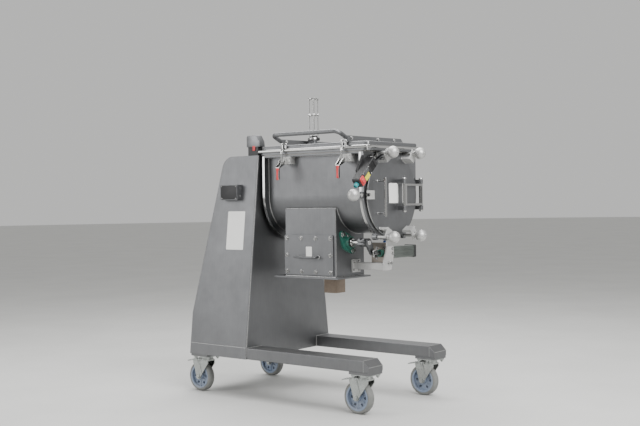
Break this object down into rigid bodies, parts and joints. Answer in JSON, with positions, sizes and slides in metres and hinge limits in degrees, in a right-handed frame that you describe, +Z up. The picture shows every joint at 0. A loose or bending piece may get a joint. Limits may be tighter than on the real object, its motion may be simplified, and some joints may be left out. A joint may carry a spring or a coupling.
{
  "type": "ribbon blender",
  "caption": "Horizontal ribbon blender on a column stand with braked casters, a hinged lid, a clamped end door and a pneumatic discharge valve.",
  "frame": {"origin": "on the floor, under the middle of the machine's bounding box", "axes": "+X from the column to the door, +Y to the side of the hinges, +Z up"},
  "size_m": [1.2144, 0.6775, 1.479],
  "materials": {
    "column_sheet": "bead-blasted satin",
    "satin_steel": "satin",
    "bright_steel": "polished",
    "knob_steel": "fine satin",
    "agitator_steel": "polished",
    "zinc_plate": "zinc plated",
    "wheel_tread": "matt",
    "seal_rubber": "matt",
    "green_paint": "gloss",
    "motor_paint": "semi-gloss",
    "cylinder_metal": "anodised",
    "switch_plastic": "matt"
  },
  "bodies": {
    "frame": {"column_shell": "column_sheet", "rear_panel": "column_sheet", "column_floor": "column_sheet", "nameplate_box": "column_sheet", "near_leg": "column_sheet", "far_leg": "column_sheet", "caster_plates": "zinc_plate", "trough_shell": "satin_steel", "trough_rear_wall": "satin_steel", "front_flange": "satin_steel", "gaskets": "seal_rubber", "shaft_bearing": "satin_steel", "gearmotor": "motor_paint", "lid_hinge_brackets": "satin_steel", "latch_bases": "satin_steel", "safety_switches": "switch_plastic", "valve_housing": "satin_steel", "valve_cover": "satin_steel", "cover_bolts": "bright_steel", "outlet": "satin_steel", "valve_bearings": "green_paint", "air_cylinder": "cylinder_metal", "actuator_bracket": "satin_steel"},
    "agitator": {"agitator_shaft": "agitator_steel", "ribbon_spokes": "agitator_steel", "outer_ribbon": "agitator_steel", "inner_ribbon": "agitator_steel"},
    "lid": {"lid_panel": "satin_steel", "lid_arms": "satin_steel", "lid_handle": "bright_steel", "vent_cage": "bright_steel"},
    "door_link": {"door_link": "satin_steel"},
    "door": {"door_plate": "satin_steel", "door_clamps": "satin_steel", "door_handle": "bright_steel"},
    "swing_bolt": {"swing_bolt": "knob_steel"},
    "valve": {"valve_shaft": "bright_steel", "valve_flap": "satin_steel", "valve_crank": "satin_steel"},
    "rod": {"rod_yoke": "bright_steel"},
    "door_screw_1": {"door_screw_1": "knob_steel"},
    "door_screw_2": {"door_screw_2": "knob_steel"},
    "door_screw_3": {"door_screw_3": "knob_steel"},
    "door_screw_4": {"door_screw_4": "knob_steel"},
    "rear_latch_lever": {"rear_latch_lever": "bright_steel"},
    "rear_latch_hook": {"rear_latch_hook": "bright_steel"},
    "front_latch_lever": {"front_latch_lever": "bright_steel"},
    "front_latch_hook": {"front_latch_hook": "bright_steel"},
    "front_near_fork": {"front_near_fork": "zinc_plate"},
    "front_near_wheel": {"front_near_wheel": "wheel_tread"},
    "front_near_pedal": {"front_near_pedal": "zinc_plate"},
    "front_far_fork": {"front_far_fork": "zinc_plate"},
    "front_far_wheel": {"front_far_wheel": "wheel_tread"},
    "front_far_pedal": {"front_far_pedal": "zinc_plate"},
    "rear_near_fork": {"rear_near_fork": "zinc_plate"},
    "rear_near_wheel": {"rear_near_wheel": "wheel_tread"},
    "rear_near_pedal": {"rear_near_pedal": "zinc_plate"},
    "rear_far_fork": {"rear_far_fork": "zinc_plate"},
    "rear_far_wheel": {"rear_far_wheel": "wheel_tread"},
    "rear_far_pedal": {"rear_far_pedal": "zinc_plate"}
  },
  "joints": [
    {"name": "agitator_spin", "type": "hinge", "parent": "frame", "child": "agitator", "pos_m": [-0.157, 0, 0.99], "axis": [1, 0, 0], "continuous": true},
    {"name": "lid_hinge", "type": "hinge", "parent": "frame", "child": "lid", "pos_m": [-0.01, 0.242, 1.214], "axis": [-1, 0, 0], "range_deg": [0, 90]},
    {"name": "door_link_hinge", "type": "hinge", "parent": "frame", "child": "door_link", "pos_m": [0.504, 0.229, 0.99], "axis": [0, 0, 1], "range_deg": [0, 110]},
    {"name": "door_swivel", "type": "hinge", "parent": "door_link", "child": "door", "pos_m": [0.532, 0.043, 0.99], "axis": [0, 0, 1], "range_deg": [-5.5, 0]},
    {"name": "door_screw_1_spin", "type": "hinge", "parent": "door", "child": "door_screw_1", "pos_m": [0.484, 0.1125, 1.18486], "axis": [1, 0, 0], "continuous": true},
    {"name": "door_screw_2_spin", "type": "hinge", "parent": "door", "child": "door_screw_2", "pos_m": [0.484, -0.1125, 1.18486], "axis": [1, 0, 0], "continuous": true},
    {"name": "door_screw_3_spin", "type": "hinge", "parent": "door", "child": "door_screw_3", "pos_m": [0.484, -0.1125, 0.79514], "axis": [1, 0, 0], "continuous": true},
    {"name": "door_screw_4_spin", "type": "hinge", "parent": "door", "child": "door_screw_4", "pos_m": [0.484, 0.1125, 0.79514], "axis": [1, 0, 0], "continuous": true},
    {"name": "swing_bolt_swing", "type": "hinge", "parent": "frame", "child": "swing_bolt", "pos_m": [0.478, -0.229, 0.99], "axis": [0, 0, 1], "range_deg": [-45, 75]},
    {"name": "valve_turn", "type": "hinge", "parent": "frame", "child": "valve", "pos_m": [0.141, -0.105, 0.767], "axis": [-1, 0, 0], "range_deg": [0, 60]},
    {"name": "rod_slide", "type": "slide", "parent": "frame", "child": "rod", "axis": [0, -1, 0], "range_m": [0, 0.0561]},
    {"name": "rear_latch_lever_turn", "type": "hinge", "parent": "frame", "child": "rear_latch_lever", "pos_m": [0.008, -0.234, 1.158], "axis": [-1, 0, 0], "range_deg": [0, 110]},
    {"name": "rear_latch_hook_turn", "type": "hinge", "parent": "rear_latch_lever", "child": "rear_latch_hook", "pos_m": [0.008, -0.234, 1.146], "axis": [-1, 0, 0], "range_deg": [-110, 0]},
    {"name": "front_latch_lever_turn", "type": "hinge", "parent": "frame", "child": "front_latch_lever", "pos_m": [0.373, -0.234, 1.158], "axis": [-1, 0, 0], "range_deg": [0, 110]},
    {"name": "front_latch_hook_turn", "type": "hinge", "parent": "front_latch_lever", "child": "front_latch_hook", "pos_m": [0.373, -0.234, 1.146], "axis": [-1, 0, 0], "range_deg": [-110, 0]},
    {"name": "front_near_swivel", "type": "hinge", "parent": "frame", "child": "front_near_fork", "pos_m": [0.5205, -0.271, 0.17], "axis": [0, 0, 1], "continuous": true},
    {"name": "front_near_roll", "type": "hinge", "parent": "front_near_fork", "child": "front_near_wheel", "pos_m": [0.4835, -0.271, 0.075], "axis": [0, 1, 0], "continuous": true},
    {"name": "front_near_brake", "type": "hinge", "parent": "front_near_fork", "child": "front_near_pedal", "pos_m": [0.4545, -0.271, 0.16], "axis": [0, -1, 0], "range_deg": [0, 10]},
    {"name": "front_far_swivel", "type": "hinge", "parent": "frame", "child": "front_far_fork", "pos_m": [0.5205, 0.271, 0.17], "axis": [0, 0, 1], "continuous": true},
    {"name": "front_far_roll", "type": "hinge", "parent": "front_far_fork", "child": "front_far_wheel", "pos_m": [0.4835, 0.271, 0.075], "axis": [0, 1, 0], "continuous": true},
    {"name": "front_far_brake", "type": "hinge", "parent": "front_far_fork", "child": "front_far_pedal", "pos_m": [0.4545, 0.271, 0.16], "axis": [0, -1, 0], "range_deg": [0, 10]},
    {"name": "rear_near_swivel", "type": "hinge", "parent": "frame", "child": "rear_near_fork", "pos_m": [-0.4855, -0.271, 0.17], "axis": [0, 0, 1], "continuous": true},
    {"name": "rear_near_roll", "type": "hinge", "parent": "rear_near_fork", "child": "rear_near_wheel", "pos_m": [-0.5225, -0.271, 0.075], "axis": [0, 1, 0], "continuous": true},
    {"name": "rear_near_brake", "type": "hinge", "parent": "rear_near_fork", "child": "rear_near_pedal", "pos_m": [-0.5515, -0.271, 0.16], "axis": [0, -1, 0], "range_deg": [0, 10]},
    {"name": "rear_far_swivel", "type": "hinge", "parent": "frame", "child": "rear_far_fork", "pos_m": [-0.4855, 0.271, 0.17], "axis": [0, 0, 1], "continuous": true},
    {"name": "rear_far_roll", "type": "hinge", "parent": "rear_far_fork", "child": "rear_far_wheel", "pos_m": [-0.5225, 0.271, 0.075], "axis": [0, 1, 0], "continuous": true},
    {"name": "rear_far_brake", "type": "hinge", "parent": "rear_far_fork", "child": "rear_far_pedal", "pos_m": [-0.5515, 0.271, 0.16], "axis": [0, -1, 0], "range_deg": [0, 10]}
  ],
  "couplings": [
    {"joint": "door_swivel", "follows": "door_link_hinge", "ratio": -0.05},
    {"joint": "rod_slide", "follows": "valve_turn", "m_per_rad": 0.05348},
    {"joint": "rear_latch_hook_turn", "follows": "rear_latch_lever_turn", "ratio": -1},
    {"joint": "front_latch_hook_turn", "follows": "front_latch_lever_turn", "ratio": -1}
  ]
}
